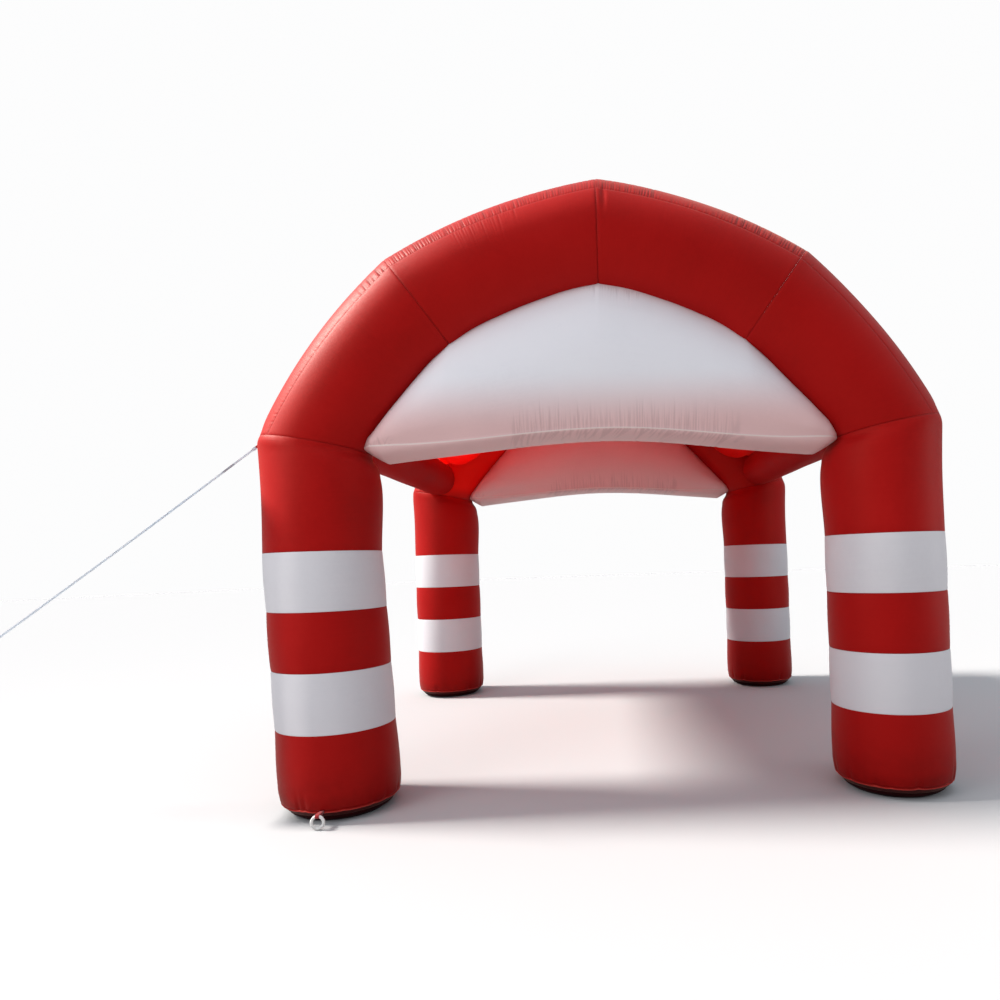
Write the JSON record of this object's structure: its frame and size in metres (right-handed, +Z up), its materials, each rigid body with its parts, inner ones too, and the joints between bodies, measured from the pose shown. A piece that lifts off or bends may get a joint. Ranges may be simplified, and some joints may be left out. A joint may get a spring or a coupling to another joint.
{
  "type": "inflatable arch tent",
  "caption": "Air-filled event tent: front and rear arches on round banded legs, joined by eave beams and roof pillows, with lens-shaped gables, a guy rope and a ground anchor ring.",
  "frame": {"origin": "on the ground under the middle of the whole tent, without the guy rope", "axes": "+Z up; -Y is the front, where the guy rope's leg and the anchor ring are; +X is the tent's right seen from the front"},
  "size_m": [6.5149, 4.6452, 4.132],
  "materials": {
    "red_cloth": "satin coated nylon, sewn, slightly translucent",
    "white_cloth": "satin coated nylon, sewn",
    "dark_cloth": "matt heavy ground cloth",
    "rope": "twisted synthetic rope",
    "white_plastic": "moulded plastic ring"
  },
  "bodies": {
    "root": {"front_left_leg_base": "dark_cloth", "front_left_leg_foot": "red_cloth", "front_left_leg_low_band": "white_cloth", "front_left_leg_middle_band": "red_cloth", "front_left_leg_high_band": "white_cloth", "front_left_leg_upper_panel": "red_cloth", "front_arch_left_lower": "red_cloth", "front_arch_left_upper": "red_cloth", "front_right_leg_base": "dark_cloth", "front_right_leg_foot": "red_cloth", "front_right_leg_low_band": "white_cloth", "front_right_leg_middle_band": "red_cloth", "front_right_leg_high_band": "white_cloth", "front_right_leg_upper_panel": "red_cloth", "front_arch_right_lower": "red_cloth", "front_arch_right_upper": "red_cloth", "front_gable": "white_cloth", "rear_left_leg_base": "dark_cloth", "rear_left_leg_foot": "red_cloth", "rear_left_leg_low_band": "white_cloth", "rear_left_leg_middle_band": "red_cloth", "rear_left_leg_high_band": "white_cloth", "rear_left_leg_upper_panel": "red_cloth", "rear_arch_left_lower": "red_cloth", "rear_arch_left_upper": "red_cloth", "rear_right_leg_base": "dark_cloth", "rear_right_leg_foot": "red_cloth", "rear_right_leg_low_band": "white_cloth", "rear_right_leg_middle_band": "red_cloth", "rear_right_leg_high_band": "white_cloth", "rear_right_leg_upper_panel": "red_cloth", "rear_arch_right_lower": "red_cloth", "rear_arch_right_upper": "red_cloth", "rear_gable": "white_cloth", "left_eave_beam": "red_cloth", "left_roof_pillow_1": "red_cloth", "left_roof_pillow_2": "red_cloth", "left_roof_pillow_3": "red_cloth", "right_eave_beam": "red_cloth", "right_roof_pillow_1": "red_cloth", "right_roof_pillow_2": "red_cloth", "right_roof_pillow_3": "red_cloth", "guy_tab": "red_cloth", "guy_hitch": "rope", "guy_rope": "rope", "guy_end_knot": "rope", "guy_loop": "rope", "anchor_ring": "white_plastic", "anchor_tab": "red_cloth"}
  },
  "joints": []
}
